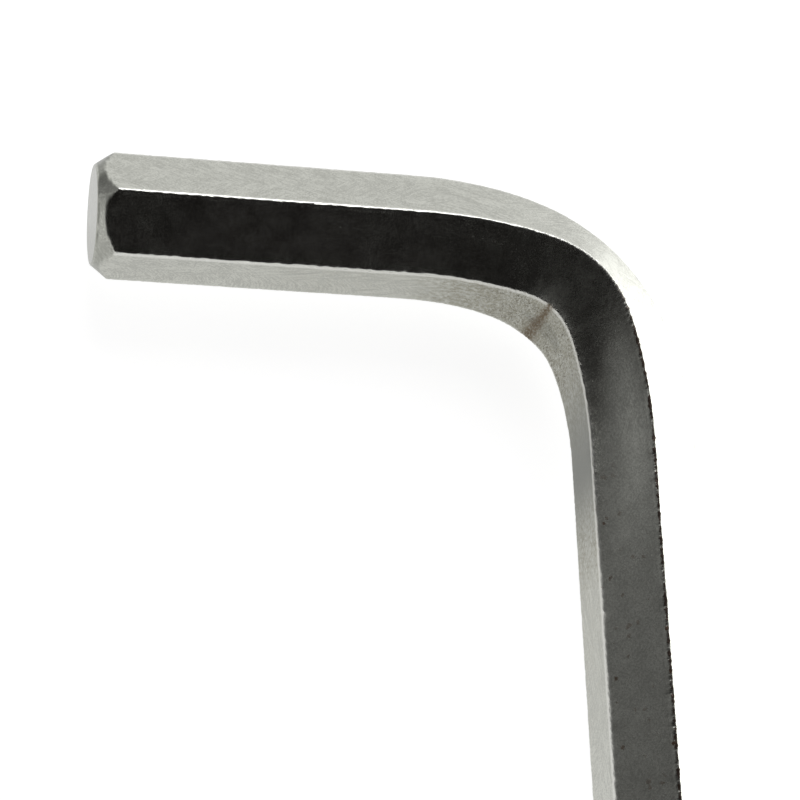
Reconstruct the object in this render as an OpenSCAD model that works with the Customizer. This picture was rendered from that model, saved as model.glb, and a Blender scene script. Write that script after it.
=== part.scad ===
// Hex key: one hexagonal steel bar, bent at a right angle, with a chamfer at each end.
// The bar lies on two of its long corners. X runs along the short arm, Y along the long arm.

/* [Bar] */
// Width of the bar across two opposite flats
across_flats = 5; // [2:0.5:14]
// Radius that rounds the six long corners of the bar
corner_r = 0.18; // [0.05:0.01:0.6]

/* [Arms] */
// Short arm, from its end face to the outer flat of the long arm
short_len = 27.35; // [20:0.05:60]
// Long arm, from its end face to the outer flat of the short arm
long_len = 80; // [40:1:240]

/* [Bend] */
// Radius of the bar's centre line where the bend starts and ends
end_r = 19.2; // [8:0.1:40]
// Radius of the bar's centre line halfway round the bend
mid_r = 6.8; // [5:0.1:20]
// How far each edge of the squeezed inner flat spreads sideways, halfway round the bend
inner_spread = 0.5; // [0:0.05:1]
// How far the inner flat sits outside its true hexagon, halfway round the bend
inner_rise = 0.3; // [0:0.05:1]
// How far the upper and lower corners are drawn outwards, halfway round the bend
side_rise = 0.65; // [0:0.05:1.5]

/* [Ends] */
// Diameter of the flat face at each end of the bar
face_d = 4.5; // [1:0.1:13]
// Angle between the end face and the chamfer around it
chamfer_angle = 55; // [20:5:70]

/* [Hidden] */
turn = 90;
stations = 45;
corner_steps = 2;
round_fn = 96;
over = 1;
steel = [0.62, 0.62, 0.60];

// distance from the bar's axis to the top of a rounded corner
corner_top = (across_flats / 2 - corner_r) / cos(30) + corner_r;
ring_r = across_flats + face_d;

// radius of the centre line at a heading between 0 and 90 degrees
function line_r(heading) = mid_r + (end_r - mid_r) * pow(cos(2 * heading), 6);

// share of the squeeze at a heading: none where the bend starts and ends, all of it halfway
function squeeze(heading) = pow(sin(2 * heading), 2);

// places along the bend's centre line, starting at the short arm, which runs along +X
step = turn / stations;
spine = [
    for (
        i = 0, x = 0, y = 0;
        i <= stations;
        x = x + line_r((i + 0.5) * step) * cos((i + 0.5) * step) * step * PI / 180,
        y = y - line_r((i + 0.5) * step) * sin((i + 0.5) * step) * step * PI / 180,
        i = i + 1
    ) [x, y]
];
reach = spine[stations].x;
short_straight = short_len - across_flats / 2 - reach;
long_straight = long_len - across_flats / 2 - reach;

// how a corner moves, outwards in the bend's plane and upwards, at full squeeze:
// the corners run from the upper outer one, over the top, to the lower outer one
corner_moves = [
    [0, 0],
    [side_rise, 0],
    [inner_rise, inner_spread],
    [inner_rise, -inner_spread],
    [side_rise, 0],
    [0, 0]
];

// the bar's rounded hexagon as [outwards, upwards] points, squeezed by a share between 0 and 1
function section(share) = [
    for (corner = [0:5])
        let (
            bearing = 30 + 60 * corner,
            centre_d = (across_flats / 2 - corner_r) / cos(30)
        )
        for (i = [0:corner_steps])
            let (a = bearing - 30 + 60 * i / corner_steps)
            [centre_d * cos(bearing) + corner_r * cos(a), centre_d * sin(bearing) + corner_r * sin(a)]
                + share * corner_moves[corner]
];

sides = 6 * (corner_steps + 1);

// one ring of the bend in space
function ring(i) =
    let (heading = i * step)
    [
        for (p = section(squeeze(heading)))
            [spine[i].x + p.x * sin(heading), spine[i].y + p.x * cos(heading), p.y]
    ];

// the bent stretch, a loft through all the rings
module bend() {
    points = [for (i = [0:stations]) each ring(i)];
    skin = [
        for (i = [0:stations - 1])
            for (k = [0:sides - 1])
                let (
                    near = i * sides + k,
                    next = i * sides + (k + 1) % sides
                )
                each [[near, near + sides, next], [next, near + sides, next + sides]]
    ];
    first_cap = [[for (k = [0:sides - 1]) k]];
    last_cap = [[for (k = [sides - 1:-1:0]) stations * sides + k]];
    polyhedron(points = points, faces = concat(skin, first_cap, last_cap), convexity = 4);
}

// a straight arm, which runs from the bend along +Z of its own frame
module arm(length) {
    difference() {
        linear_extrude(height = length) polygon(section(0));
        end_chamfer(length);
    }
}

// the ring that the chamfer takes off an arm's end
module end_chamfer(length) {
    fall = (ring_r - face_d / 2) * tan(chamfer_angle);
    translate([0, 0, length])
        rotate_extrude($fn = round_fn)
            polygon([[face_d / 2, 0], [ring_r, -fall], [ring_r, over], [face_d / 2, over]]);
}

module hex_key() {
    color(steel)
        translate([
            short_len / 2 - across_flats / 2 - reach,
            long_len / 2 - across_flats / 2,
            corner_top
        ])
            union() {
                bend();
                rotate([-90, 0, 0]) rotate([0, -90, 0]) arm(short_straight);
                translate([reach, spine[stations].y, 0]) rotate([90, 0, 0]) arm(long_straight);
            }
}

hex_key();
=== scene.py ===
"""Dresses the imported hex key: worn bright steel, lying on a plain pale floor.

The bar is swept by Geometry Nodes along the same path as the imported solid. The tree works in
millimetres, with the crossing of the two arms' axes at its origin, and the mesh is moved into
the row's frame at the end. The finish reads the bar's own coordinates from the mesh: outwards
and upwards from its axis, and along it from the short arm's end face.
"""

from __future__ import annotations

import logging
import math
from dataclasses import dataclass
from enum import Enum
from typing import Any

import bpy
from mathutils import Matrix, Vector

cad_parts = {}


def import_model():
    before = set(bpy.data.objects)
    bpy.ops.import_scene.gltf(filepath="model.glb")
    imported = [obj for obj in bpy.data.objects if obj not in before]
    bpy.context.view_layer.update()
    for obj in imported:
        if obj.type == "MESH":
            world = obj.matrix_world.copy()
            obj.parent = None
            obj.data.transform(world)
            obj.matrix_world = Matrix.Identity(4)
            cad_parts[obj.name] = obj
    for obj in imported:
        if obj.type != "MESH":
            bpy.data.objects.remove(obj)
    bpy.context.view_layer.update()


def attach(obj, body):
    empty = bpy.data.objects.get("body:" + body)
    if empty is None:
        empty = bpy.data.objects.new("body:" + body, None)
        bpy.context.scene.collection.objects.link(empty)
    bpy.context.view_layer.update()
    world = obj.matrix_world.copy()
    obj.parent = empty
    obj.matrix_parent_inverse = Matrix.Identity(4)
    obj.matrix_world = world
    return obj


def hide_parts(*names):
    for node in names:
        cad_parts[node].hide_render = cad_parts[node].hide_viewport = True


LOG = logging.getLogger("hex_key")
MM = 0.001
CORNER_TURN = math.radians(60)
HALF_TURN = math.radians(30)
COS_30 = math.cos(HALF_TURN)
TAN_30 = math.tan(HALF_TURN)
WHITE = (1.0, 1.0, 1.0)
# edges of the masks for the inner and the side flats, in millimetres
INNER_OUT = (-2.31, -2.41)
INNER_UP = (1.52, 1.40)
SIDE_OUT = (0.3, -0.1)
SIDE_UP = (1.30, 1.60)

Number = float | int
Socket = bpy.types.NodeSocket
Colour = tuple[float, float, float]
Point = tuple[float, float, float]
Span = tuple[float, float]
Bearing = tuple[float, float]
Sizes = dict[str, "Value"]


class Slot(Enum):
    """Material slots of the record."""

    STEEL = "steel"


class Wear(Enum):
    """Names of the attributes that the bar's mesh carries for its finish."""

    BAR = "bar"
    EDGE = "edge"
    CHAMFER = "chamfer"
    SQUEEZE = "squeeze"


@dataclass(frozen=True)
class NoiseSize:
    """How coarse a noise is: its waves for each unit, and its finer layers and their strength."""

    scale: float = 1.0
    detail: float = 2.0
    rough: float = 0.5


class Value:
    """A number socket of a node tree. Arithmetic on it adds Math nodes."""

    def __init__(self, nodes: Nodes, socket: Socket) -> None:
        """Keeps the tree, and the output socket that carries the number."""
        self.nodes = nodes
        self.socket = socket

    def maths(self, operation: str, *terms: Value | Number) -> Value:
        """Adds one Math node.

        Args:
            operation: Blender's name for the operation.
            terms: The node's inputs, in order.

        Returns:
            The node's result.
        """
        return self.nodes.number("ShaderNodeMath", {"operation": operation}, dict(enumerate(terms)))

    def __add__(self, other: Value | Number) -> Value:
        """Adds a value."""
        return self.maths("ADD", self, other)

    def __radd__(self, other: Number) -> Value:
        """Adds to a number."""
        return self.maths("ADD", other, self)

    def __sub__(self, other: Value | Number) -> Value:
        """Takes a value away."""
        return self.maths("SUBTRACT", self, other)

    def __rsub__(self, other: Number) -> Value:
        """Takes this away from a number."""
        return self.maths("SUBTRACT", other, self)

    def __mul__(self, other: Value | Number) -> Value:
        """Multiplies by a value."""
        return self.maths("MULTIPLY", self, other)

    def __rmul__(self, other: Number) -> Value:
        """Multiplies a number."""
        return self.maths("MULTIPLY", other, self)

    def __truediv__(self, other: Value | Number) -> Value:
        """Divides by a value."""
        return self.maths("DIVIDE", self, other)

    def __neg__(self) -> Value:
        """Turns the sign."""
        return self.maths("MULTIPLY", self, -1.0)

    def __pow__(self, power: Number) -> Value:
        """Raises to a power."""
        return self.maths("POWER", self, power)

    def least(self, other: Value | Number) -> Value:
        """The smaller of two values."""
        return self.maths("MINIMUM", self, other)

    def most(self, other: Value | Number) -> Value:
        """The larger of two values."""
        return self.maths("MAXIMUM", self, other)

    def soft_least(self, other: Value | Number, width: Number) -> Value:
        """The smaller of two values, blended where they are that close."""
        return self.maths("SMOOTH_MIN", self, other, width)

    def soft_most(self, other: Value | Number, width: Number) -> Value:
        """The larger of two values, blended where they are that close."""
        return self.maths("SMOOTH_MAX", self, other, width)

    def unit(self) -> Value:
        """Holds the value between 0 and 1."""
        return self.most(0.0).least(1.0)

    def sin(self) -> Value:
        """Sine of an angle in radians."""
        return self.maths("SINE", self)

    def cos(self) -> Value:
        """Cosine of an angle in radians."""
        return self.maths("COSINE", self)

    def size(self) -> Value:
        """The value without its sign."""
        return self.maths("ABSOLUTE", self)

    def sign(self) -> Value:
        """Minus one, zero or one."""
        return self.maths("SIGN", self)

    def floor(self) -> Value:
        """The whole number below."""
        return self.maths("FLOOR", self)

    def root(self) -> Value:
        """The square root."""
        return self.maths("SQRT", self)

    def over(self, edge: Value | Number) -> Value:
        """One where the value is greater than edge, and otherwise zero."""
        return self.maths("GREATER_THAN", self, edge)

    def step(self, low: Number, high: Number) -> Value:
        """A smooth step.

        Args:
            low: Where the step starts from 0.
            high: Where it reaches 1. It may be lower than low, for a falling step.

        Returns:
            The step, between 0 and 1.
        """
        t = ((self - low) * (1.0 / (high - low))).unit()
        return t * t * (3.0 - 2.0 * t)

    def bell(self, centre: Value | Number, width: Value | Number) -> Value:
        """A bell curve of height 1 around centre, with that width."""
        t = (self - centre) / width
        return self.maths("EXPONENT", -(t * t))


class Nodes:
    """A node tree, with one method that adds nodes to it."""

    def __init__(self, tree: bpy.types.NodeTree) -> None:
        """Keeps the tree."""
        self.tree = tree

    @classmethod
    def fresh(cls, holder: bpy.types.Material | bpy.types.World) -> Nodes:
        """Empties the tree of a material or a world.

        Args:
            holder: The material or the world.

        Returns:
            Its tree, without nodes.
        """
        holder.use_nodes = True
        holder.node_tree.nodes.clear()
        return cls(holder.node_tree)

    def add(
        self,
        kind: str,
        settings: dict[str, Any] | None = None,
        inputs: dict[int | str, Any] | None = None,
    ) -> bpy.types.Node:
        """Adds a node, sets what it is, then fills its sockets.

        Args:
            kind: Blender's type name.
            settings: The node's own properties.
            inputs: A number, tuple, socket or Value for each socket, by name or place.

        Returns:
            The new node.
        """
        node = self.tree.nodes.new(kind)
        for name, setting in (settings or {}).items():
            setattr(node, name, setting)
        for key, given in (inputs or {}).items():
            self.fill(node.inputs[key], given)
        return node

    def fill(self, socket: Socket, given: Any) -> None:
        """Links or sets one input.

        Args:
            socket: The input.
            given: A Value or an output socket to link, or a value to set. A colour has no alpha.
        """
        source = given.socket if isinstance(given, Value) else given
        if isinstance(source, Socket):
            self.tree.links.new(source, socket)
        elif socket.type == "RGBA":
            socket.default_value = (*source, 1.0)
        else:
            socket.default_value = source

    def number(
        self,
        kind: str,
        settings: dict[str, Any] | None = None,
        inputs: dict[int | str, Any] | None = None,
        output: int | str = 0,
    ) -> Value:
        """Adds a node and wraps one of its outputs as a number."""
        return Value(self, self.add(kind, settings, inputs).outputs[output])

    def vector(self, x: Any, y: Any, z: Any) -> Socket:
        """Joins three values into a vector."""
        return self.add("ShaderNodeCombineXYZ", inputs={0: x, 1: y, 2: z}).outputs[0]

    def parts(self, vector: Socket) -> tuple[Value, Value, Value]:
        """Splits a vector into its three values."""
        node = self.add("ShaderNodeSeparateXYZ", inputs={0: vector})
        return tuple(Value(self, socket) for socket in node.outputs)

    def noise(self, vector: Socket, size: NoiseSize) -> Value:
        """Noise around 0.5, mostly between 0.25 and 0.75, read at a vector."""
        return self.number(
            "ShaderNodeTexNoise",
            {"noise_dimensions": "3D"},
            {"Vector": vector, "Scale": size.scale, "Detail": size.detail, "Roughness": size.rough},
        )

    def blend(self, share: Value, low: Any, high: Any) -> Socket:
        """Mixes two colours.

        Args:
            share: How much of the second colour there is.
            low: The first colour.
            high: The second colour.

        Returns:
            The mixed colour.
        """
        node = self.add("ShaderNodeMix", {"data_type": "RGBA"}, {0: share, 6: low, 7: high})
        return node.outputs[2]


@dataclass(frozen=True)
class BarSizes:
    """The key's sizes in millimetres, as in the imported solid."""

    across_flats: float = 5.0
    corner_r: float = 0.18
    short_len: float = 27.35
    long_len: float = 80.0
    end_r: float = 19.2
    mid_r: float = 6.8
    inner_spread: float = 0.5
    inner_rise: float = 0.3
    side_rise: float = 0.65
    face_d: float = 4.5
    chamfer_angle: float = 55.0

    @property
    def corner_top(self) -> float:
        """Height of a rounded corner above the bar's axis."""
        return (self.across_flats / 2 - self.corner_r) / COS_30 + self.corner_r

    @property
    def waves(self) -> dict[int, float]:
        """The bend's radius as a sum of cosines of these multiples of the heading."""
        swing = self.end_r - self.mid_r
        return {
            0: self.mid_r + swing * 10 / 32,
            4: swing * 15 / 32,
            8: swing * 6 / 32,
            12: swing / 32,
        }

    @property
    def reach(self) -> float:
        """How far the bend runs along each arm from the crossing of their axes."""
        waves = self.waves
        return waves[0] - sum(waves[wave] / (wave**2 - 1) for wave in (4, 8, 12))

    @property
    def bend_len(self) -> float:
        """Length of the centre line round the bend."""
        return self.waves[0] * math.pi / 2

    @property
    def short_straight(self) -> float:
        """Length of the short arm's straight part."""
        return self.short_len - self.across_flats / 2 - self.reach

    @property
    def long_straight(self) -> float:
        """Length of the long arm's straight part."""
        return self.long_len - self.across_flats / 2 - self.reach

    @property
    def crossing(self) -> Vector:
        """Crossing of the arms' axes in the row's frame, in millimetres."""
        half = self.across_flats / 2
        return Vector((self.short_len / 2 - half, self.long_len / 2 - half, self.corner_top))


@dataclass(frozen=True)
class Skin:
    """What the finish reads from the bar: its coordinates, its features and its flats."""

    bar: Socket
    out: Value
    up: Value
    along: Value
    edge: Value
    chamfer: Value
    squeeze: Value
    inner: Value
    side: Value

    @classmethod
    def read(cls, nodes: Nodes, sizes: BarSizes) -> Skin:
        """Reads the mesh's attributes and works out which flat each point is on.

        Args:
            nodes: The finish's tree.
            sizes: The key's sizes.

        Returns:
            The coordinates in millimetres, and masks between 0 and 1.
        """
        bar = nodes.add("ShaderNodeAttribute", {"attribute_name": Wear.BAR.value}).outputs["Vector"]
        edge, chamfer, squeeze = (
            nodes.number("ShaderNodeAttribute", {"attribute_name": wear.value}, output="Fac")
            for wear in (Wear.EDGE, Wear.CHAMFER, Wear.SQUEEZE)
        )
        out, up, along = nodes.parts(bar)
        inner = (out - sizes.inner_rise * squeeze).step(*INNER_OUT)
        inner = inner * (up.size() - sizes.inner_spread * squeeze).step(*INNER_UP)
        side = up.size().step(*SIDE_UP) * out.step(*SIDE_OUT)
        return cls(bar, out, up, along, edge, chamfer, squeeze, inner, side)


@dataclass(frozen=True)
class Slant:
    """One direction of polishing marks: its slope, and their waves along them and outwards."""

    run: float
    rise: float
    lengthwise: float
    outwards: float


@dataclass(frozen=True)
class PolishMarks:
    """Fine polishing marks, slanted in changing directions, in patches."""

    fineness: float = 12.0
    curl: float = 0.35
    falling: Slant = Slant(0.75, 0.66, 1.1, 2.0)
    rising: Slant = Slant(0.28, -0.96, 0.8, 3.0)
    noise: NoiseSize = NoiseSize(1.0, 3.0, 0.6)
    patch: NoiseSize = NoiseSize(1.0, 1.0)
    patch_across: float = 0.8
    patch_along: float = 0.33
    patch_edge: Span = (0.42, 0.58)

    def build(self, nodes: Nodes, skin: Skin) -> Value:
        """Joins the two directions of marks, each in its own patches.

        Args:
            nodes: The finish's tree.
            skin: Where the marks lie.

        Returns:
            The marks, around 0.5.
        """
        bent = skin.along + self.curl * skin.up * skin.up
        falling = self._slanted(nodes, skin, bent, self.falling)
        rising = self._slanted(nodes, skin, skin.along, self.rising)
        across = self.patch_across
        where = nodes.vector(skin.out * across, skin.up * across, skin.along * self.patch_along)
        share = nodes.noise(where, self.patch).step(*self.patch_edge)
        return falling * share + rising * (1.0 - share)

    def _slanted(self, nodes: Nodes, skin: Skin, run: Value, slant: Slant) -> Value:
        """Noise that is stretched along one slant.

        Args:
            nodes: The finish's tree.
            skin: Where the marks lie.
            run: The distance along the bar.
            slant: The marks' direction.

        Returns:
            The marks, around 0.5.
        """
        across = (run * slant.run + skin.up * slant.rise) * self.fineness
        lengthwise = (skin.up * slant.run - run * slant.rise) * slant.lengthwise
        where = nodes.vector(across, lengthwise, skin.out * slant.outwards)
        return nodes.noise(where, self.noise)


@dataclass(frozen=True)
class TurnedEnd:
    """Marks on the bar's ends: fine turned rings, painted shade in a line round the flat face and on
    the cone, and a darker face and cone in noisy patches.
    """

    ring_pitch: float = 16.0
    # the line round the flat face and the cone's shoulders get painted shade; the last three fields
    # darken the face and cone in noisy patches
    bevel_shade: float = 0.6
    bevel_shade_out: float = 0.04
    bevel_shade_width: float = 0.030
    bevel_shade_noise: NoiseSize = NoiseSize(1.3, 2.0, 0.6)
    shoulder_shade_noise: NoiseSize = NoiseSize(2.2, 2.0, 0.6)
    outer_shade: float = 0.9
    inner_shade: float = 0.35
    darkening_noise: NoiseSize = NoiseSize(1.6, 3.0, 0.7)
    cone_darkening: float = 0.36
    face_darkening: float = 0.25

    def rings(self, nodes: Nodes, skin: Skin) -> Value:
        """The turned rings of the cone."""
        where = nodes.vector(self._radius(skin) * self.ring_pitch, skin.along * 0.5, skin.up * 0.25)
        return nodes.noise(where, NoiseSize()) * skin.chamfer

    def end_shade_and_darkening(self, nodes: Nodes, skin: Skin, face_r: float) -> Value:
        """Works out where the end is darkened, with painted shade and in noisy patches.

        Args:
            nodes: The finish's tree.
            skin: Where the grime lies.
            face_r: Radius of the end's flat face.

        Returns:
            A painted shade line round the face, painted shade on the cone, and the cone and face
            darkened in noisy patches.
        """
        radius = self._radius(skin)
        # painted shade: a broken dark line round the flat face, where the rim's bevel would be shaded,
        # on the side that shows
        broken = nodes.noise(skin.bar, self.bevel_shade_noise).step(0.44, 0.56)
        shown = skin.up.step(0.9, 1.5) * skin.out.step(0.2, -0.3)
        bevel_shade = self.bevel_shade * radius.bell(face_r + self.bevel_shade_out, self.bevel_shade_width)
        bevel_shade = bevel_shade * skin.chamfer * broken * shown
        # painted shade on the cone's upper outer shoulder, and less of it on its inner side
        cone = skin.chamfer * radius.step(face_r + 0.02, face_r + 0.08)
        shoulder_shade = cone * (0.3 + 0.7 * nodes.noise(skin.bar, self.shoulder_shade_noise))
        outer = self.outer_shade * skin.out.step(0.0, 0.9) * skin.up.step(0.3, 1.0)
        shoulder_shade = shoulder_shade * (outer + self.inner_shade * skin.out.step(-1.7, -2.2))
        face = radius.step(face_r + 0.03, face_r - 0.03)
        # the flat face and the cone darkened in noisy patches
        darkening = nodes.noise(nodes.vector(skin.out * 0.6, skin.up * 2.4, skin.along), self.darkening_noise)
        darkening = darkening * (self.cone_darkening * skin.chamfer.most(face) + self.face_darkening * face)
        return bevel_shade + shoulder_shade + darkening

    def _radius(self, skin: Skin) -> Value:
        """Distance from the bar's axis."""
        return (skin.out * skin.out + skin.up * skin.up).root()


@dataclass(frozen=True)
class RustSpecks:
    """Small brown specks on the long arm's side flats, most of them near its corners."""

    cells: float = 2.0
    chance: float = 0.34
    speck: Span = (0.10, 0.22)
    speck_growth: float = 0.10
    raggedness: float = 0.55
    ragged_noise: NoiseSize = NoiseSize(7.0)
    starts: Span = (29.0, 36.0)
    strength: float = 0.60
    edge_strength: float = 0.35
    edge_reach: Span = (0.2, 0.9)

    def build(self, nodes: Nodes, skin: Skin) -> Value:
        """Puts a ragged speck in some of a Voronoi pattern's cells.

        Args:
            nodes: The finish's tree.
            skin: Where the specks lie.

        Returns:
            The rust, between 0 and 1.
        """
        cells = nodes.add(
            "ShaderNodeTexVoronoi",
            {"voronoi_dimensions": "3D", "feature": "F1"},
            {"Vector": skin.bar, "Scale": self.cells, "Randomness": 1.0},
        )
        far = Value(nodes, cells.outputs["Distance"])
        luck, _, size = nodes.parts(cells.outputs["Color"])
        ragged = self.raggedness * (nodes.noise(skin.bar, self.ragged_noise) - 0.5)
        speck = 1.0 - (far + ragged - self.speck_growth * size).step(*self.speck)
        chosen = luck.over(1.0 - self.chance) * skin.along.step(*self.starts)
        near_edge = 1.0 - skin.edge.step(*self.edge_reach)
        rust = speck * chosen * (self.strength + self.edge_strength * near_edge)
        return rust.unit() * skin.side


@dataclass(frozen=True)
class Stain:
    """The narrow brown strip across the inner flat, halfway round the bend."""

    at: float = 22.4
    width: float = 0.60
    taper: float = 0.12
    wander: float = 0.20
    wander_noise: NoiseSize = NoiseSize(1.5)
    patch_noise: NoiseSize = NoiseSize(5.0, 4.0, 0.8)
    patch_edge: Span = (0.38, 0.58)
    strength: float = 1.25
    least: float = 0.15

    def build(self, nodes: Nodes, skin: Skin) -> Value:
        """Draws the strip, wider below and broken into patches.

        Args:
            nodes: The finish's tree.
            skin: Where the strip lies.

        Returns:
            The stain, between 0 and 1.
        """
        wander = self.wander * (nodes.noise(skin.bar, self.wander_noise) - 0.5)
        strip = skin.along.bell(self.at + wander, self.width - self.taper * skin.up)
        patchy = nodes.noise(skin.bar, self.patch_noise).step(*self.patch_edge)
        stain = self.strength * strip * (self.least + (1.0 - self.least) * patchy)
        return stain.unit() * skin.inner


@dataclass(frozen=True)
class BendShadeAndPits:
    """Painted shade along the inner flat round the bend and past it, mottled, with small pits where
    the bar is squeezed.
    """

    # where the painted shade along the inner flat rises and falls, how even it is, and its darkest
    # part
    early: Span = (6.0, 10.0)
    early_share: float = 0.2
    rise: Span = (14.0, 16.6)
    fall: Span = (39.0, 35.0)
    fall_share: float = 0.6
    tail: Span = (48.0, 39.0)
    tail_share: float = 0.25
    evenness: float = 0.74
    shade_at: float = 32.0
    shade_width: float = 2.7
    pit_noise: NoiseSize = NoiseSize(6.5, 4.0, 0.85)
    pit_edge: Span = (0.50, 0.40)
    cluster_noise: NoiseSize = NoiseSize(2.4, 2.0, 0.6)
    cluster_edge: Span = (0.38, 0.60)
    lone_pits: float = 0.3

    def mottled_shade(self, skin: Skin, grain: Value, rough: Value, patches: Value) -> Value:
        """Works out the painted shade along the inner flat, mottled by the noises.

        Args:
            skin: Where the stretch lies.
            grain: Fine noise.
            rough: Coarser noise.
            patches: The coarsest noise.

        Returns:
            The painted shade, which may go past 0 and 1.
        """
        rise = self.early_share * skin.along.step(*self.early)
        rise = rise + (1.0 - self.early_share) * skin.along.step(*self.rise)
        fall = self.fall_share * skin.along.step(*self.fall)
        fall = fall + self.tail_share * skin.along.step(*self.tail)
        mottled = 5.0 * (rough - 0.5) + 1.6 * (grain - 0.5) + 1.2 * (patches - 0.5)
        # painted shade along the inner flat, broken up by the noises
        return rise * skin.inner * fall * (self.evenness + mottled)

    def shade(self, skin: Skin) -> Value:
        """The darkest painted shade on the inner flat, just past the bend."""
        # painted shade, darkest just past the bend
        return skin.inner * skin.along.bell(self.shade_at, self.shade_width)

    def pits(self, nodes: Nodes, skin: Skin) -> Value:
        """Small pits, most of them in clusters, where the bar is squeezed."""
        pits = nodes.noise(skin.bar, self.pit_noise).step(*self.pit_edge)
        pits = pits * skin.inner * skin.squeeze.step(0.0, 0.4)
        clusters = nodes.noise(skin.bar, self.cluster_noise).step(*self.cluster_edge)
        return pits * (self.lone_pits + (1.0 - self.lone_pits) * clusters)


@dataclass(frozen=True)
class Layers:
    """The layers of wear and of painted shade, each a number over the surface."""

    grain: Value
    rough: Value
    patches: Value
    drawn: Value
    rings: Value
    # painted shade at the ends, and the end face and cone darkened
    end_shade_and_darkening: Value
    # painted shade along the inner flat, and its darkest part past the bend
    mottled_shade: Value
    shade: Value
    pits: Value
    teeth: Value
    rim: Value
    bright: Value
    stain: Value
    rust: Value


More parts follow.
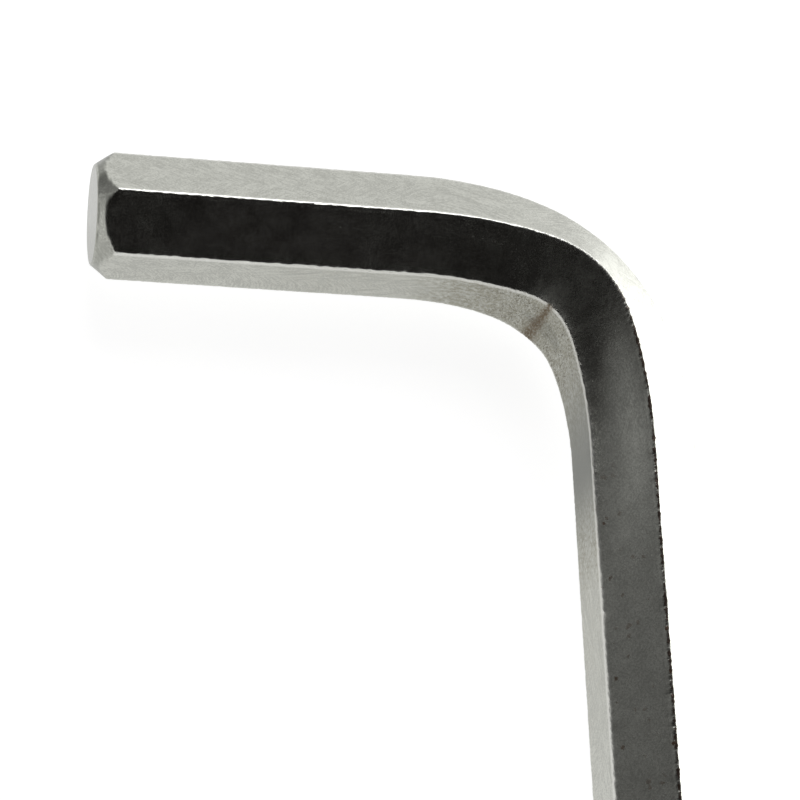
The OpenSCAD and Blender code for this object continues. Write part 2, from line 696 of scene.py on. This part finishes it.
@dataclass(frozen=True)
class WornSteel:
    """Bright steel with polishing marks, a stain in the bend and small rust specks, with painted shade
    along the inner flat past the bend and at the ends.
    """

    name: str = "worn_steel"
    sizes: BarSizes = BarSizes()
    marks: PolishMarks = PolishMarks()
    end: TurnedEnd = TurnedEnd()
    specks: RustSpecks = RustSpecks()
    stain: Stain = Stain()
    bend_shade_and_pits: BendShadeAndPits = BendShadeAndPits()
    tone: Colour = (0.655, 0.662, 0.606)
    dull_tone: Colour = (0.50, 0.505, 0.460)
    bright_tone: Colour = (0.86, 0.86, 0.82)
    # tones of the painted shade along the inner flat and of the darkest painted shade, which the ends
    # use too
    mottled_shade_tone: Colour = (0.335, 0.325, 0.262)
    shade_tone: Colour = (0.175, 0.180, 0.158)
    pit_tone: Colour = (0.13, 0.11, 0.075)
    rust_tone: Colour = (0.075, 0.038, 0.018)
    stain_tone: Colour = (0.19, 0.130, 0.065)
    rim_tone: Colour = (0.07, 0.050, 0.040)
    roughness: float = 0.22
    grain_noise: NoiseSize = NoiseSize(12.0, 2.0, 0.7)
    rough_noise: NoiseSize = NoiseSize(5.5, 3.0, 0.75)
    patch_noise: NoiseSize = NoiseSize(1.1, 3.0, 0.6)
    teeth_noise: NoiseSize = NoiseSize(1.0, 2.0, 0.6)
    side_calm: float = 0.65
    rim_width: float = 0.05
    rim_teeth: float = 0.36
    rim_up: Span = (2.2, 2.5)
    rim_starts: Span = (20.0, 28.0)
    bright_share: float = 0.6
    bright_edge: Span = (0.20, 0.06)
    mark_height: float = 0.0044
    grain_height: float = 0.0022
    squeezed_height: float = 0.0030
    pit_depth: float = 0.0050
    teeth_height: float = 0.018
    ring_height: float = 0.0022

    def build(self) -> bpy.types.Material:
        """Makes the material.

        Returns:
            The finished material.
        """
        material = bpy.data.materials.new(self.name)
        nodes = Nodes.fresh(material)
        skin = Skin.read(nodes, self.sizes)
        wear = self._layers(nodes, skin)
        metal = 1.0 - 0.55 * wear.stain - 0.35 * wear.rust - 0.4 * wear.rim
        height = self._height(skin, wear)
        bump = nodes.add("ShaderNodeBump", inputs={"Strength": 1.0, "Distance": MM, "Height": height})
        shader = nodes.add(
            "ShaderNodeBsdfPrincipled",
            inputs={
                "Base Color": self._tone(nodes, skin, wear),
                "Roughness": self._shine(skin, wear).unit(),
                "Metallic": metal.unit(),
                "Normal": bump.outputs[0],
            },
        )
        nodes.add("ShaderNodeOutputMaterial", inputs={"Surface": shader.outputs[0]})
        return material

    def _layers(self, nodes: Nodes, skin: Skin) -> Layers:
        """Works out each layer of wear and of painted shade once.

        Args:
            nodes: The material's tree.
            skin: Where each point lies.

        Returns:
            The layers.
        """
        grain = nodes.noise(skin.bar, self.grain_noise)
        rough = nodes.noise(skin.bar, self.rough_noise)
        patches = nodes.noise(skin.bar, self.patch_noise)
        teeth = nodes.vector(skin.out * 2.0, skin.up * 2.0, skin.along * 5.0)
        teeth = nodes.noise(teeth, self.teeth_noise)
        top = skin.up.step(*self.rim_up) * skin.along.step(*self.rim_starts)
        ragged = skin.edge - self.rim_width - self.rim_teeth * (teeth - 0.5)
        bright = self.bright_share * skin.edge.step(*self.bright_edge)
        return Layers(
            grain=grain,
            rough=rough,
            patches=patches,
            drawn=(self.marks.build(nodes, skin) - 0.5) * (1.0 - self.side_calm * skin.side),
            rings=self.end.rings(nodes, skin),
            # painted shade at the ends, and the end face and cone darkened
            end_shade_and_darkening=self.end.end_shade_and_darkening(nodes, skin, self.sizes.face_d / 2),
            # painted shade along the inner flat, and its darkest part past the bend
            mottled_shade=self.bend_shade_and_pits.mottled_shade(skin, grain, rough, patches),
            shade=self.bend_shade_and_pits.shade(skin),
            pits=self.bend_shade_and_pits.pits(nodes, skin),
            teeth=teeth,
            rim=top * ragged.step(0.02, -0.02),
            bright=bright * (1.0 - top) * (1.0 - skin.chamfer),
            stain=self.stain.build(nodes, skin),
            rust=self.specks.build(nodes, skin),
        )

    def _tone(self, nodes: Nodes, skin: Skin, wear: Layers) -> Socket:
        """Lays each layer of wear and of painted shade over the last.

        Args:
            nodes: The material's tree.
            skin: Where each point lies.
            wear: The layers of wear and of painted shade.

        Returns:
            The steel's colour.
        """
        uneven = 3.4 * (0.5 - wear.grain) - 3.0 * wear.drawn + 1.4 * (0.5 - wear.patches)
        uneven = uneven * (1.0 + 0.6 * skin.inner + 0.6 * skin.chamfer)
        uneven = uneven + 2.0 * skin.inner * (0.5 - wear.rough)
        dull = 0.5 + uneven + 0.35 * skin.chamfer
        tone = nodes.blend(dull.unit(), self.tone, self.dull_tone)
        for share, over in (
            # painted shade along the inner flat round the bend, mottled
            (wear.mottled_shade.unit(), self.mottled_shade_tone),
            # the darkest painted shade past the bend, painted shade at the ends, and the darker end
            # face and cone
            ((wear.shade + wear.end_shade_and_darkening).unit(), self.shade_tone),
            (0.9 * wear.pits, self.pit_tone),
            (wear.bright, self.bright_tone),
            (wear.rim, self.rim_tone),
            (0.9 * wear.stain, self.stain_tone),
            (wear.rust, self.rust_tone),
        ):
            tone = nodes.blend(share, tone, over)
        return tone

    def _shine(self, skin: Skin, wear: Layers) -> Value:
        """The steel's roughness."""
        shine = self.roughness + 0.14 * (wear.grain - 0.5) + 0.10 * (wear.patches - 0.5)
        return shine + 0.06 * skin.squeeze + 0.12 * wear.pits + 0.25 * wear.stain + 0.15 * wear.rust

    def _height(self, skin: Skin, wear: Layers) -> Value:
        """Adds up the fine relief.

        Args:
            skin: Where each point lies.
            wear: The layers of wear.

        Returns:
            The height, in millimetres.
        """
        height = self.mark_height * wear.drawn + self.ring_height * wear.rings
        height = height + (self.grain_height + self.squeezed_height * skin.squeeze) * wear.grain
        height = height - self.pit_depth * wear.pits
        teeth = self.teeth_height * wear.teeth * skin.edge.step(0.26, 0.02)
        return height + teeth * (0.35 + 0.65 * skin.up.step(1.9, 2.4))


@dataclass
class Bar:
    """The whole key, one hexagonal bar bent at a right angle."""

    sizes: BarSizes = BarSizes()
    finish: WornSteel = WornSteel()
    name: str = "key_bar"
    node: str = "hex_key"
    columns: int = 84
    rows: int = 1180
    tip_rows: int = 60
    tip_curve: float = 0.4
    tip_reach: float = 0.6
    arc_share: float = 6 / 14
    crease: float = 0.05
    weld: float = 0.002
    chamfer_gain: float = 25.0
    wave: float = 0.012
    wave_noise: NoiseSize = NoiseSize(0.4, 1.0)
    raggedness: float = 0.020
    ragged_noise: NoiseSize = NoiseSize(5.5, 1.0, 0.6)
    ragged_edge: Span = (0.36, 0.72)
    ragged_width: float = 0.13
    nick: float = 0.020
    nick_noise: NoiseSize = NoiseSize(1.9, 0.0)
    nick_edge: Span = (0.70, 0.77)
    nick_starts: Span = (28.0, 34.0)
    nick_side: Span = (2.2, 1.2)
    dish: float = 1.0
    dish_starts: Span = (21.0, 26.0)
    dish_ends: Span = (38.0, 32.0)
    end_slant: float = 0.055
    slant_pivot: float = 0.24
    slant_reach: Span = (2.0, 0.0)

    def build(self) -> bpy.types.Object:
        """Sweeps the bar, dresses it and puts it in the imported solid's place.

        Returns:
            The finished piece.
        """
        material = self.finish.build()
        holder = bpy.data.objects.new("sweep", bpy.data.meshes.new("sweep"))
        bpy.context.scene.collection.objects.link(holder)
        sweep = holder.modifiers.new("sweep", "NODES")
        sweep.node_group = self._tree()
        self._set_inputs(sweep, material)
        bpy.context.view_layer.update()
        graph = bpy.context.evaluated_depsgraph_get()
        mesh = bpy.data.meshes.new_from_object(holder.evaluated_get(graph), depsgraph=graph)
        holder.modifiers.remove(sweep)
        bpy.data.objects.remove(holder)
        mesh.name = self.name
        mesh.materials.clear()
        mesh.materials.append(material)
        mesh.polygons.foreach_set("material_index", [0] * len(mesh.polygons))
        mesh.transform(Matrix.Scale(MM, 4) @ Matrix.Translation(self.sizes.crossing))
        piece = bpy.data.objects.new(self.name, mesh)
        bpy.context.scene.collection.objects.link(piece)
        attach(piece, "root")
        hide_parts(self.node)
        return piece

    def _inputs(self) -> dict[str, float]:
        """The sweep's named sizes."""
        s = self.sizes
        return {
            "Across flats": s.across_flats,
            "Corner radius": s.corner_r,
            "Short straight": s.short_straight,
            "Long straight": s.long_straight,
            "Bend reach": s.reach,
            "Inner spread": s.inner_spread,
            "Inner rise": s.inner_rise,
            "Side rise": s.side_rise,
            "End face radius": s.face_d / 2,
            "Dish": self.dish,
            "End slant": self.end_slant,
            "Waviness": self.wave,
            "Edge raggedness": self.raggedness,
            "Nick depth": self.nick,
        }

    def _set_inputs(self, sweep: bpy.types.Modifier, material: bpy.types.Material) -> None:
        """Sets the modifier's inputs by the identifiers of their sockets.

        Args:
            sweep: The Geometry Nodes modifier.
            material: The finish that the tree sets.
        """
        given = {**self._inputs(), "Finish": material}
        for item in sweep.node_group.interface.items_tree:
            if item.item_type == "SOCKET" and item.in_out == "INPUT" and item.name in given:
                sweep[item.identifier] = given[item.name]

    def _tree(self) -> bpy.types.NodeTree:
        """Makes the tree that sweeps the bar.

        Returns:
            The Geometry Nodes tree.
        """
        tree = bpy.data.node_groups.new("hex_bar_sweep", "GeometryNodeTree")
        for name in self._inputs():
            tree.interface.new_socket(name=name, in_out="INPUT", socket_type="NodeSocketFloat")
        tree.interface.new_socket(name="Finish", in_out="INPUT", socket_type="NodeSocketMaterial")
        tree.interface.new_socket(name="Bar", in_out="OUTPUT", socket_type="NodeSocketGeometry")
        nodes = Nodes(tree)
        given = nodes.add("NodeGroupInput").outputs
        size = {name: Value(nodes, given[name]) for name in self._inputs()}
        grid = {"Size X": 1.0, "Size Y": 1.0, "Vertices X": self.rows, "Vertices Y": self.columns + 1}
        at_x, at_y, _ = nodes.parts(nodes.add("GeometryNodeInputPosition").outputs[0])
        along, cap_r, heading = self._stations(size, at_x + 0.5)
        out, up, edge = self._section(size, at_y + 0.5)
        squeeze = (2.0 * heading).sin() ** 2
        out, up = self._squeezed(size, out, up, squeeze)
        out, up = self._dished(size, out, up, along)
        spread = (out * out + up * up).root()
        whole = spread - self._worn_off(nodes, size, nodes.vector(out, up, along), edge)
        held = whole.soft_least(cap_r, self.crease)
        scale = held / spread
        out, up = out * scale, up * scale
        slant = size["Across flats"] * self.slant_pivot - up
        slant = size["End slant"] * slant * along.step(*self.slant_reach)
        place = self._placed(nodes, size, along + slant, heading, out, up)
        kept = {
            Wear.BAR: ("FLOAT_VECTOR", nodes.vector(out, up, along)),
            Wear.EDGE: ("FLOAT", edge),
            Wear.CHAMFER: ("FLOAT", ((whole - held) * self.chamfer_gain).unit()),
            Wear.SQUEEZE: ("FLOAT", squeeze),
        }
        shape = nodes.add("GeometryNodeMeshGrid", inputs=grid).outputs[0]
        for wear, (kind, value) in kept.items():
            shape = nodes.add(
                "GeometryNodeStoreNamedAttribute",
                {"data_type": kind, "domain": "POINT"},
                {"Geometry": shape, "Name": wear.value, "Value": value},
            ).outputs[0]
        for kind, socket, extra in (
            ("GeometryNodeSetPosition", "Geometry", {"Position": place}),
            ("GeometryNodeMergeByDistance", "Geometry", {"Distance": self.weld}),
            ("GeometryNodeFlipFaces", "Mesh", {}),
            ("GeometryNodeSetShadeSmooth", "Geometry", {}),
            ("GeometryNodeRealizeInstances", "Geometry", {}),
            ("GeometryNodeSetMaterial", "Geometry", {"Material": given["Finish"]}),
        ):
            shape = nodes.add(kind, inputs={socket: shape, **extra}).outputs[0]
        nodes.add("NodeGroupOutput", inputs={"Bar": shape})
        return tree

    def _stations(self, size: Sizes, share: Value) -> tuple[Value, Value, Value]:
        """Works out where each row of points lies.

        Args:
            size: The named sizes.
            share: The row's place, from 0 to 1.

        Returns:
            The distance from the short end face, the radius that the end's cone allows, and the
            heading in the bend.
        """
        tip = self.tip_rows / (self.rows - 1)
        near = (share * (1.0 / tip)).unit()
        far = ((1.0 - share) * (1.0 / tip)).unit()
        body = ((share - tip) * (1.0 / (1.0 - 2.0 * tip))).unit()
        cap_top = size["Across flats"] * self.tip_reach
        face_r = size["End face radius"]
        slope = math.tan(math.radians(self.sizes.chamfer_angle))
        near_drop, far_drop = (
            slope * (cap_top * part**self.tip_curve - face_r).soft_most(0.0, self.crease)
            for part in (near, far)
        )
        whole = size["Short straight"] + size["Long straight"] + self.sizes.bend_len
        depth = slope * (cap_top - face_r)
        along = near_drop + body * (whole - 2.0 * depth) + depth - far_drop
        cap_r = cap_top * near.least(far) ** self.tip_curve
        turned = ((along - size["Short straight"]) * (1.0 / self.sizes.bend_len)).unit()
        return along, cap_r, turned * (math.pi / 2)

    def _section(self, size: Sizes, share: Value) -> tuple[Value, Value, Value]:
        """Works out the rounded hexagon.

        Args:
            size: The named sizes.
            share: The column's place round the section, from 0 to 1.

        Returns:
            The distances outwards and upwards from the bar's axis, and the distance along the
            surface from the middle of the nearest corner.
        """
        sixth = share * 6.0
        corner = sixth.floor()
        side = 2.0 * (sixth - corner) - 1.0
        span = side.size()
        flat = ((span - self.arc_share) * (1.0 / (1.0 - self.arc_share))).unit() ** 2
        turn = (span * (1.0 / self.arc_share)).least(1.0) * HALF_TURN
        half, radius = size["Across flats"] * 0.5, size["Corner radius"]
        away = (half - radius) * (1.0 / COS_30) + radius * turn.cos()
        away = away + flat * (half * COS_30 - away)
        aside = radius * turn.sin()
        aside = (aside + flat * (half * 0.5 - aside)) * side.sign()
        bearing = (corner + 0.5) * CORNER_TURN
        out = away * bearing.cos() - aside * bearing.sin()
        up = away * bearing.sin() + aside * bearing.cos()
        return out, up, radius * turn + flat * ((half - radius) * TAN_30)

    def _squeezed(self, size: Sizes, out: Value, up: Value, squeeze: Value) -> tuple[Value, Value]:
        """Changes the section as the bend does: the inner flat spreads and the sides move out.

        Args:
            size: The named sizes.
            out: Distance outwards from the bar's axis.
            up: Distance upwards from it.
            squeeze: The share of the change.

        Returns:
            The new distances outwards and upwards.
        """
        half = size["Across flats"] * 0.5
        outer = (out / half).unit()
        inner = (-out / half).unit()
        lift = size["Side rise"] * (1.0 - outer) + (size["Inner rise"] - size["Side rise"]) * inner
        widen = size["Inner spread"] * inner**2 * (up / (half * TAN_30)).most(-1.0).least(1.0)
        return out + squeeze * lift, up + squeeze * widen

    def _dished(self, size: Sizes, out: Value, up: Value, along: Value) -> tuple[Value, Value]:
        """Hollows the flats beside the inner one a little, most of it where the bend ends.

        Args:
            size: The named sizes.
            out: Distance outwards from the bar's axis.
            up: Distance upwards from it.
            along: Distance from the short end face.

        Returns:
            The new distances outwards and upwards.
        """
        share = (1.0 + out / (size["Across flats"] * 0.5)).unit()
        depth = size["Dish"] * along.step(*self.dish_starts) * along.step(*self.dish_ends)
        depth = depth * share * (1.0 - share) ** 2
        return out + 0.5 * depth, up - COS_30 * depth * up.sign()

    def _worn_off(self, nodes: Nodes, size: Sizes, bar: Socket, edge: Value) -> Value:
        """How much wear takes off: a soft waviness, and ragged corners with nicks.

        Args:
            nodes: The tree.
            size: The named sizes.
            bar: The bar's own coordinates.
            edge: The distance from the nearest corner.

        Returns:
            The depth, in millimetres.
        """
        out, _, along = nodes.parts(bar)
        wave = size["Waviness"] * (1.0 - nodes.noise(bar, self.wave_noise))
        at_edge = edge.bell(0.0, self.ragged_width)
        ragged = nodes.noise(bar, self.ragged_noise).step(*self.ragged_edge)
        ragged = size["Edge raggedness"] * ragged * at_edge
        nicks = nodes.noise(bar, self.nick_noise).step(*self.nick_edge)
        nicks = nicks * at_edge * out.step(*self.nick_side) * along.step(*self.nick_starts)
        return wave + ragged + size["Nick depth"] * nicks

    def _placed(
        self, nodes: Nodes, size: Sizes, along: Value, heading: Value, out: Value, up: Value
    ) -> Socket:
        """Puts the section's points in space, along the path.

        Args:
            nodes: The tree.
            size: The named sizes.
            along: Distance from the short end face.
            heading: The heading in the bend, in radians.
            out: Distance outwards from the bar's axis.
            up: Distance upwards from it.

        Returns:
            The points' positions.
        """
        waves = self.sizes.waves
        line_x = waves[0] * heading.sin()
        line_y = waves[0] * (heading.cos() - 1.0)
        for wave in (4, 8, 12):
            for turns, hand in ((wave - 1, -1), (wave + 1, 1)):
                swing = waves[wave] / (2 * turns)
                line_x = line_x + swing * (heading * turns).sin()
                line_y = line_y - hand * swing * (1.0 - (heading * turns).cos())
        before = (along - size["Short straight"]).least(0.0)
        after = (along - size["Short straight"] - self.sizes.bend_len).most(0.0)
        x = line_x + before - size["Bend reach"] + out * heading.sin()
        y = line_y - after + out * heading.cos()
        return nodes.vector(x, y, up)


def direction(azimuth: float, elevation: float) -> Vector:
    """Turns a direction into a unit vector.

    Args:
        azimuth: The angle from +X towards +Y, in degrees.
        elevation: The angle above the horizon, in degrees.

    Returns:
        The vector.
    """
    turn, rise = math.radians(azimuth), math.radians(elevation)
    return Vector((math.cos(turn) * math.cos(rise), math.sin(turn) * math.cos(rise), math.sin(rise)))


@dataclass(frozen=True)
class Floor:
    """A round, pale floor. It looks white to the camera, and keeps the key's shadow.

    Reflections show it pale, and brighter on the side that the long arm's outer flats face.
    """

    radius: float = 1.6
    points: int = 128
    tone: float = 0.42
    glow: float = 0.88
    mirror_glow: float = 0.64
    side_glow: float = 1.1
    side_at: float = -20.0
    side_edge: Span = (0.19, 0.40)
    side_far: Span = (0.004, 0.03)
    side_starts: Span = (0.002, 0.006)

    def build(self, middle: Vector) -> None:
        """Makes the floor.

        Args:
            middle: The crossing of the key's arms, in metres.
        """
        rim = [
            (self.radius * math.cos(a), self.radius * math.sin(a), 0.0)
            for a in (math.tau * i / self.points for i in range(self.points))
        ]
        mesh = bpy.data.meshes.new("floor")
        mesh.from_pydata(rim, [], [list(range(self.points))])
        mesh.materials.append(self._card(middle))
        floor = bpy.data.objects.new("floor", mesh)
        bpy.context.scene.collection.objects.link(floor)

    def _card(self, middle: Vector) -> bpy.types.Material:
        """Makes the floor's material.

        Args:
            middle: The crossing of the key's arms, in metres.

        Returns:
            The material.
        """
        material = bpy.data.materials.new("floor_card")
        nodes = Nodes.fresh(material)
        path = nodes.add("ShaderNodeLightPath").outputs
        seen = Value(nodes, path["Is Camera Ray"])
        mirrored = Value(nodes, path["Is Glossy Ray"]).most(Value(nodes, path["Is Transmission Ray"]))
        bright = self.mirror_glow + self.side_glow * self._side(nodes, middle)
        glow = self.glow * seen + bright * mirrored
        card = nodes.add("ShaderNodeBsdfDiffuse", inputs={"Color": (self.tone, self.tone, self.tone)})
        light = nodes.add("ShaderNodeEmission", inputs={"Color": WHITE, "Strength": glow})
        both = nodes.add("ShaderNodeAddShader", inputs={0: card.outputs[0], 1: light.outputs[0]})
        nodes.add("ShaderNodeOutputMaterial", inputs={"Surface": both.outputs[0]})
        return material

    def _side(self, nodes: Nodes, middle: Vector) -> Value:
        """Draws the bright side of the floor, a sector round the key.

        Args:
            nodes: The floor's tree.
            middle: The crossing of the key's arms, in metres.

        Returns:
            The share of the side's glow.
        """
        x, y, _ = nodes.parts(nodes.add("ShaderNodeTexCoord").outputs["Object"])
        x, y = x - middle.x, y - middle.y
        far = (x * x + y * y).root().most(MM)
        way = direction(self.side_at, 0.0)
        facing = (way.x * x + way.y * y) / far
        sector = facing.step(*self.side_edge) * far.step(*self.side_far)
        return sector * x.step(*self.side_starts)


@dataclass(frozen=True)
class Room:
    """Even light all round, with a dark part above and in front of the key, and a dim gap.

    Directions are azimuth and elevation in degrees, and the edges round them are in degrees.
    """

    dark_at: Bearing = (-105.0, 60.0)
    dark_edge: Span = (42.0, 54.5)
    dark_level: float = 0.006
    dark_tint: Colour = (1.12, 0.98, 0.92)
    tint_edge: Span = (0.01, 0.10)
    side_edge: Span = (64.0, 78.0)
    side_level: float = 0.155
    horizon: Span = (0.60, 0.46)
    gap_at: Bearing = (138.0, 10.0)
    gap_edge: Span = (36.0, 22.0)
    gap_level: float = 0.30
    sky_level: float = 0.79

    def build(self) -> None:
        """Makes the world, which is plain white to the camera."""
        world = bpy.data.worlds.new("studio")
        bpy.context.scene.world = world
        nodes = Nodes.fresh(world)
        way = nodes.add("ShaderNodeTexCoord").outputs["Generated"]
        apart = self._apart(nodes, way, self.dark_at)
        room = self.dark_level + (self.side_level - self.dark_level) * apart.step(*self.dark_edge)
        room = room + (self.sky_level - self.side_level) * apart.step(*self.side_edge)
        room = room + (self.sky_level - room) * nodes.parts(way)[2].step(*self.horizon)
        gap = self._apart(nodes, way, self.gap_at).step(*self.gap_edge)
        room = room + (self.gap_level - room) * gap
        seen = nodes.number("ShaderNodeLightPath", output="Is Camera Ray")
        level = room + seen * (1.0 - room)
        tint = nodes.blend(level.step(*self.tint_edge), self.dark_tint, WHITE)
        light = nodes.add("ShaderNodeBackground", inputs={"Color": tint, "Strength": level})
        nodes.add("ShaderNodeOutputWorld", inputs={"Surface": light.outputs[0]})

    def _apart(self, nodes: Nodes, way: Socket, at: Bearing) -> Value:
        """The angle between a way and a direction, in degrees."""
        facing = nodes.number(
            "ShaderNodeVectorMath",
            {"operation": "DOT_PRODUCT"},
            {0: way, 1: direction(*at)},
            "Value",
        )
        return facing.maths("ARCCOSINE", facing) * (180.0 / math.pi)


@dataclass(frozen=True)
class Lamp:
    """A soft rectangular lamp that faces the key, unseen by the camera.

    Its direction is in degrees, its sizes are in metres, and a radiance of 1 is white.
    """

    name: str
    azimuth: float
    elevation: float
    width: float
    height: float
    radiance: float
    distance: float = 0.30

    def build(self, middle: Vector) -> None:
        """Makes the lamp.

        Args:
            middle: What the lamp faces, in metres.
        """
        way = direction(self.azimuth, self.elevation)
        light = bpy.data.lights.new(self.name, "AREA")
        light.shape = "RECTANGLE"
        light.size, light.size_y = self.width, self.height
        light.energy = self.radiance * math.pi * self.width * self.height
        lamp = bpy.data.objects.new(self.name, light)
        lamp.location = middle + way * self.distance
        lamp.rotation_euler = (-way).to_track_quat("-Z", "Y").to_euler()
        lamp.visible_camera = False
        bpy.context.scene.collection.objects.link(lamp)


@dataclass(frozen=True)
class Camera:
    """The camera, where the photograph was taken from.

    Its place is in millimetres from the crossing of the arms' axes.
    """

    lens: float = 136.26
    sensor: float = 36.0
    clip: Span = (0.005, 20.0)
    at: Point = (-44.79, -56.59, 122.18)
    right: Point = (0.9667, -0.0389, 0.2528)
    top: Point = (-0.0553, 0.9331, 0.3554)

    def build(self, crossing: Vector) -> None:
        """Makes the camera.

        Args:
            crossing: The crossing of the arms' axes, in millimetres.
        """
        data = bpy.data.cameras.new("camera")
        data.sensor_width = self.sensor
        data.lens = self.lens
        data.clip_start, data.clip_end = self.clip
        camera = bpy.data.objects.new("camera", data)
        right, top = Vector(self.right), Vector(self.top)
        basis = Matrix((right, top, right.cross(top))).transposed().to_4x4()
        camera.matrix_world = Matrix.Translation((crossing + Vector(self.at)) * MM) @ basis
        bpy.context.scene.collection.objects.link(camera)
        bpy.context.scene.camera = camera


@dataclass
class Studio:
    """The pale floor, the soft light round the key, and the camera."""

    floor: Floor = Floor()
    room: Room = Room()
    side_light: Lamp = Lamp("side_light", 22.0, 12.0, 0.34, 0.12, 2.4)
    back_light: Lamp = Lamp("back_light", 84.0, 46.0, 0.20, 0.17, 2.2)
    camera: Camera = Camera()

    def build(self, sizes: BarSizes) -> None:
        """Makes the floor, the world, the lamps and the camera.

        Args:
            sizes: The key's sizes, which place the camera and the lamps.
        """
        middle = sizes.crossing * MM
        self.floor.build(middle)
        self.room.build()
        for lamp in (self.side_light, self.back_light):
            lamp.build(middle)
        self.camera.build(sizes.crossing)


def main() -> None:
    """Loads the frame, builds the key and its studio, and reports each piece."""
    logging.basicConfig(level=logging.INFO, format="%(name)s: %(message)s")
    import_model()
    scene = bpy.context.scene
    scene.view_settings.view_transform = "Standard"
    bar = Bar()
    piece = bar.build()
    LOG.info("%s: %d points, %d faces", piece.name, len(piece.data.vertices), len(piece.data.polygons))
    Studio().build(bar.sizes)


if __name__ == "__main__":
    main()
